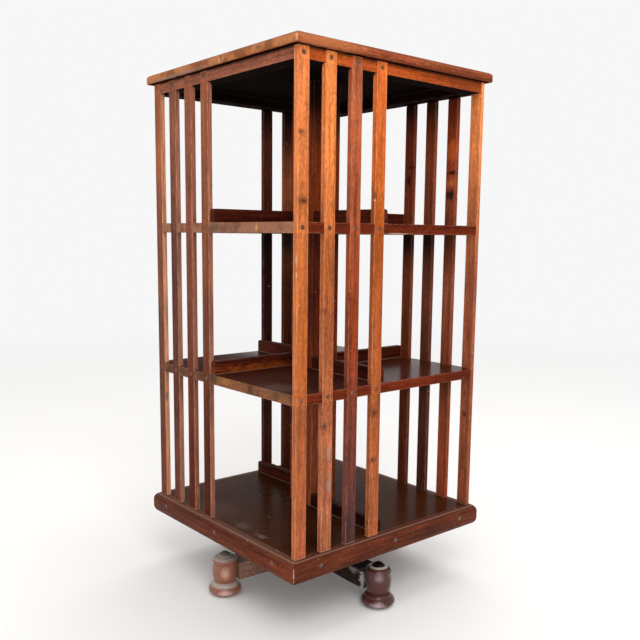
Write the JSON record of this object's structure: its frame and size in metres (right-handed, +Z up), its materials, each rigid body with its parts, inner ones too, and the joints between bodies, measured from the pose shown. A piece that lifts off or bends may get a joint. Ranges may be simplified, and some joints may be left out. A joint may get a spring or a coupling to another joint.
{
  "type": "revolving bookcase",
  "caption": "Square slatted bookcase of dark hardwood with open tiers on every face, turning about an iron spindle on a low cross base with turned feet.",
  "frame": {"origin": "on the floor, under the turning axis of the case", "axes": "+Z up along the turning axis; -Y out of face 1, the right-hand face in the picture, and -X out of face 4, the left-hand one"},
  "size_m": [0.5106, 0.5106, 1.0565],
  "materials": {
    "slat_wood": "waxed hardwood, worn",
    "case_wood": "waxed hardwood, worn",
    "inner_wood": "dark polished hardwood",
    "base_wood": "dark waxed hardwood, dusty",
    "forged_iron": "forged, oiled",
    "steel_heads": "darkened steel"
  },
  "bodies": {
    "base": {"base_beam_cross": "base_wood", "base_beam_long": "base_wood", "flange_screws": "forged_iron", "foot_1": "base_wood", "foot_2": "base_wood", "foot_3": "base_wood", "foot_4": "base_wood", "spindle": "forged_iron"},
    "case": {"bottom_panel": "case_wood", "core_board_1": "inner_wood", "core_board_2": "inner_wood", "core_board_3": "inner_wood", "core_board_4": "inner_wood", "cup_screws": "forged_iron", "edging_1": "case_wood", "edging_2": "case_wood", "edging_3": "case_wood", "edging_4": "case_wood", "edging_nails": "steel_heads", "fence_bottom_1": "inner_wood", "fence_bottom_3": "inner_wood", "fence_lower_1": "inner_wood", "fence_lower_2": "inner_wood", "fence_lower_3": "inner_wood", "fence_lower_4": "inner_wood", "fence_upper_1": "inner_wood", "fence_upper_2": "inner_wood", "fence_upper_3": "inner_wood", "fence_upper_4": "inner_wood", "guide_plate": "forged_iron", "guide_screws": "forged_iron", "lower_shelf": "case_wood", "pivot_cup": "forged_iron", "rail_1": "case_wood", "rail_2": "case_wood", "rail_3": "case_wood", "rail_4": "case_wood", "slat_1_1": "slat_wood", "slat_1_2": "slat_wood", "slat_1_3": "slat_wood", "slat_1_4": "slat_wood", "slat_2_1": "slat_wood", "slat_2_2": "slat_wood", "slat_2_3": "slat_wood", "slat_2_4": "slat_wood", "slat_3_1": "slat_wood", "slat_3_2": "slat_wood", "slat_3_3": "slat_wood", "slat_3_4": "slat_wood", "slat_4_1": "slat_wood", "slat_4_2": "slat_wood", "slat_4_3": "slat_wood", "slat_4_4": "slat_wood", "slat_screws": "steel_heads", "top_board": "case_wood", "upper_shelf": "case_wood"}
  },
  "joints": [
    {"name": "case_spin", "type": "hinge", "parent": "base", "child": "case", "pos_m": [0, 0, 0], "axis": [0, 0, 1], "continuous": true}
  ]
}
